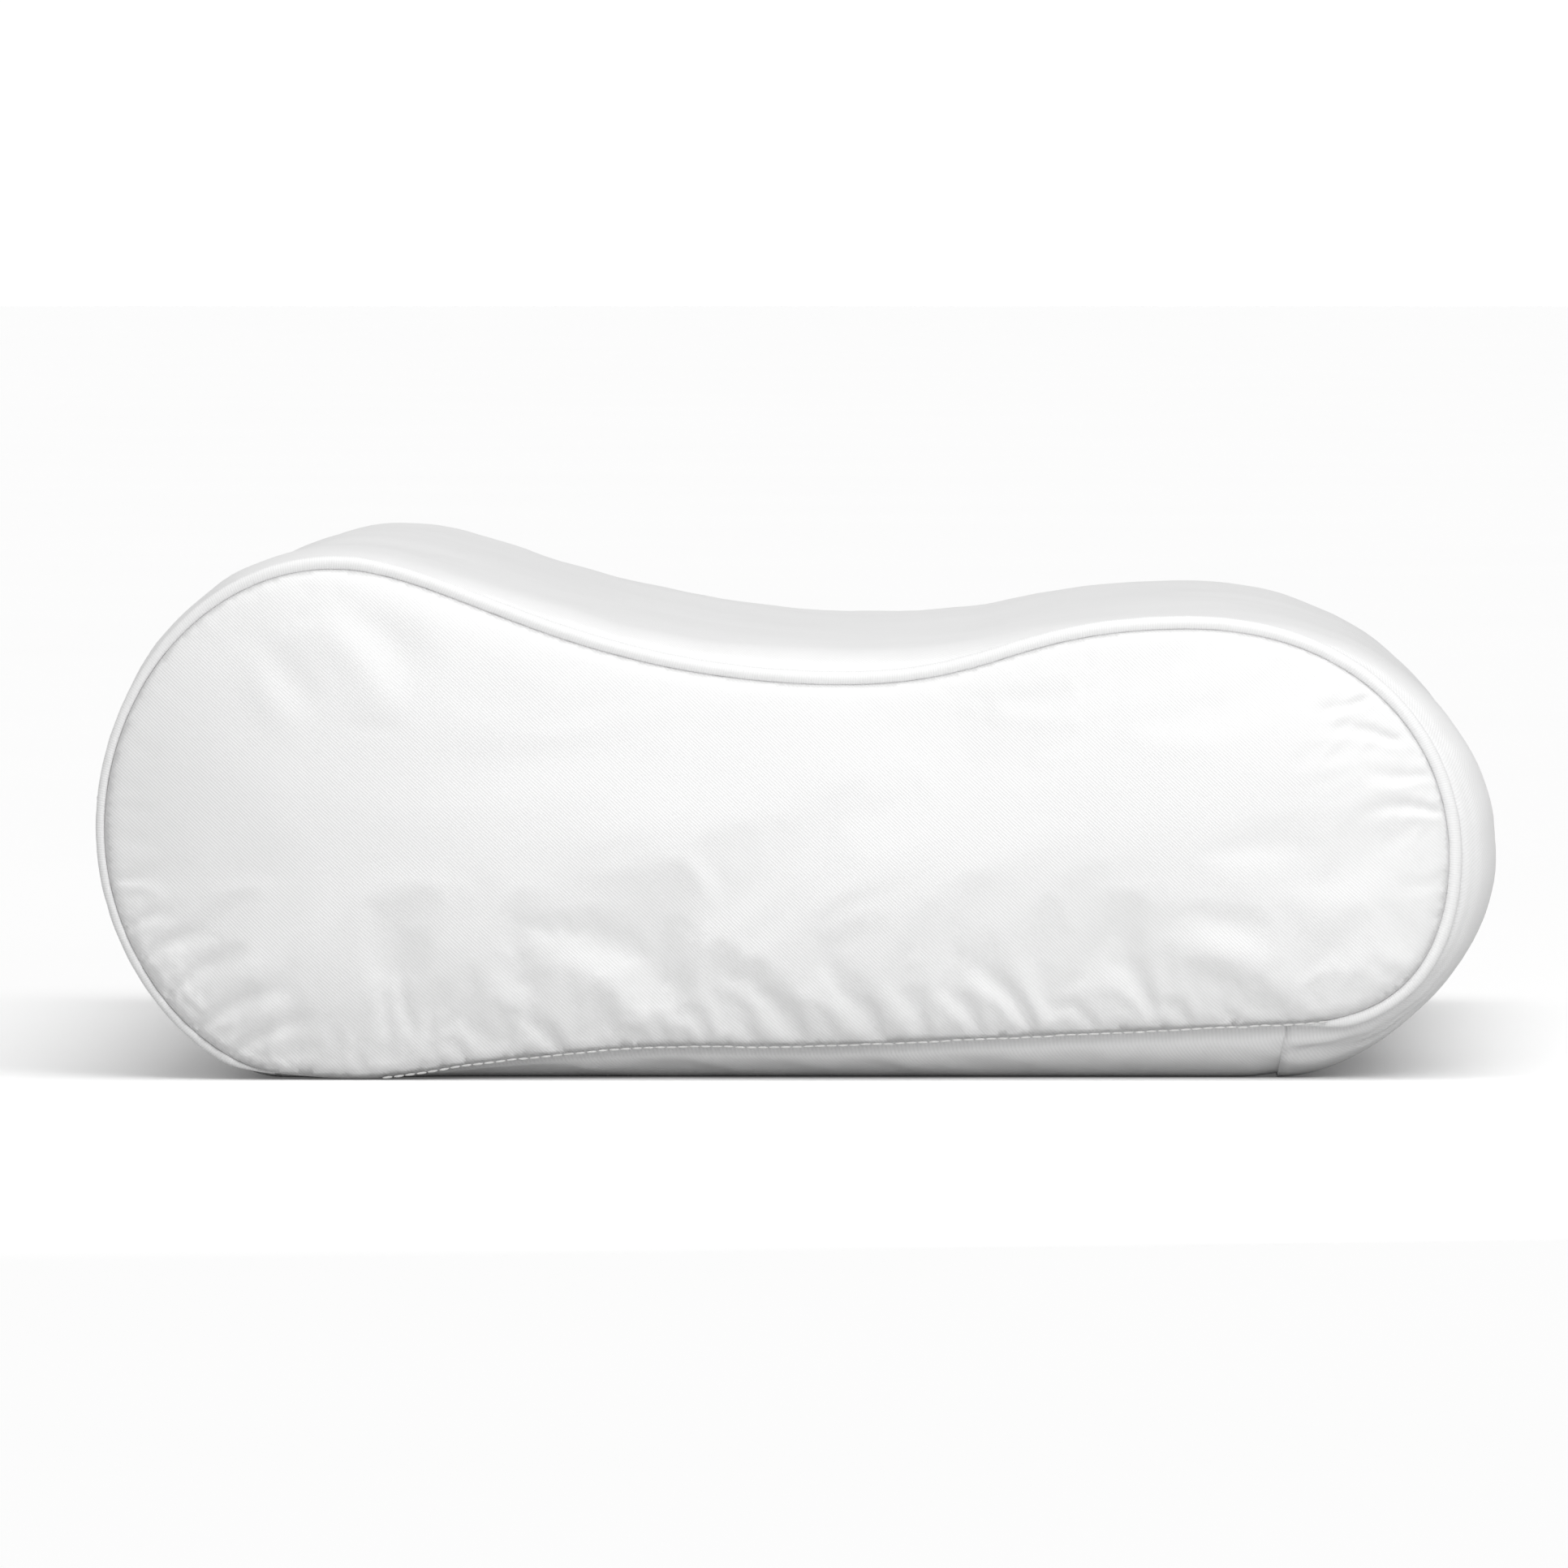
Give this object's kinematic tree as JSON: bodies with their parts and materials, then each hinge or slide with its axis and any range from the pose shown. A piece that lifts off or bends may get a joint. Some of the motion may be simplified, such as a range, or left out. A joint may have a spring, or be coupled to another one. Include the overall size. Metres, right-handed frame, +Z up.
{
  "type": "lumbar support cushion",
  "caption": "Two-lobed contour cushion: a shaped foam core in a knit liner inside a piped satin-twill cover with a coil zip along its rear wall.",
  "frame": {"origin": "middle of the flat underside, on the surface that the cushion lies on", "axes": "+X from the rear wall to the nose, across the two lobes; +Y along the cushion's width, from the front end panel to the rear end panel; +Z up, out of the side that the two lobes are on"},
  "size_m": [0.3186, 0.5, 0.1185],
  "materials": {
    "cover_satin": "white satin-faced twill with a soft sheen",
    "piping_satin": "bias-cut self fabric, soft sheen",
    "liner_knit": "matte fine knit",
    "foam": "matte open-cell foam",
    "piping_cord": "matte twisted cotton",
    "zip_tape": "matte woven tape",
    "zip_coil": "semi-gloss nylon",
    "zip_metal": "satin nickel-plated zinc",
    "label": "smooth woven satin, blank"
  },
  "bodies": {
    "cushion": {"foam_core": "foam", "liner_sleeve": "liner_knit", "liner_end_front": "liner_knit", "liner_end_rear": "liner_knit", "top_panel": "cover_satin", "base_panel": "cover_satin", "rear_panel": "cover_satin", "end_panel_front": "cover_satin", "end_panel_rear": "cover_satin", "piping_sleeve_front": "piping_satin", "piping_sleeve_rear": "piping_satin", "piping_cord_front": "piping_cord", "piping_cord_rear": "piping_cord", "zip_tape_upper": "zip_tape", "zip_tape_lower": "zip_tape", "zip_coil_upper": "zip_coil", "zip_coil_lower": "zip_coil", "zip_top_stop_upper": "zip_metal", "zip_top_stop_lower": "zip_metal", "zip_bottom_stop": "zip_metal", "care_label": "label"},
    "slider": {"zip_slider": "zip_metal"},
    "pull_tab": {"zip_pull_tab": "zip_metal"}
  },
  "joints": [
    {"name": "zip_slide", "type": "slide", "parent": "cushion", "child": "slider", "axis": [0, -1, 0], "range_m": [0, 0.405]},
    {"name": "pull_tab_swing", "type": "hinge", "parent": "slider", "child": "pull_tab", "pos_m": [-0.15975, 0.2027, 0.06], "axis": [0, 0, -1], "range_deg": [0, 175]}
  ]
}
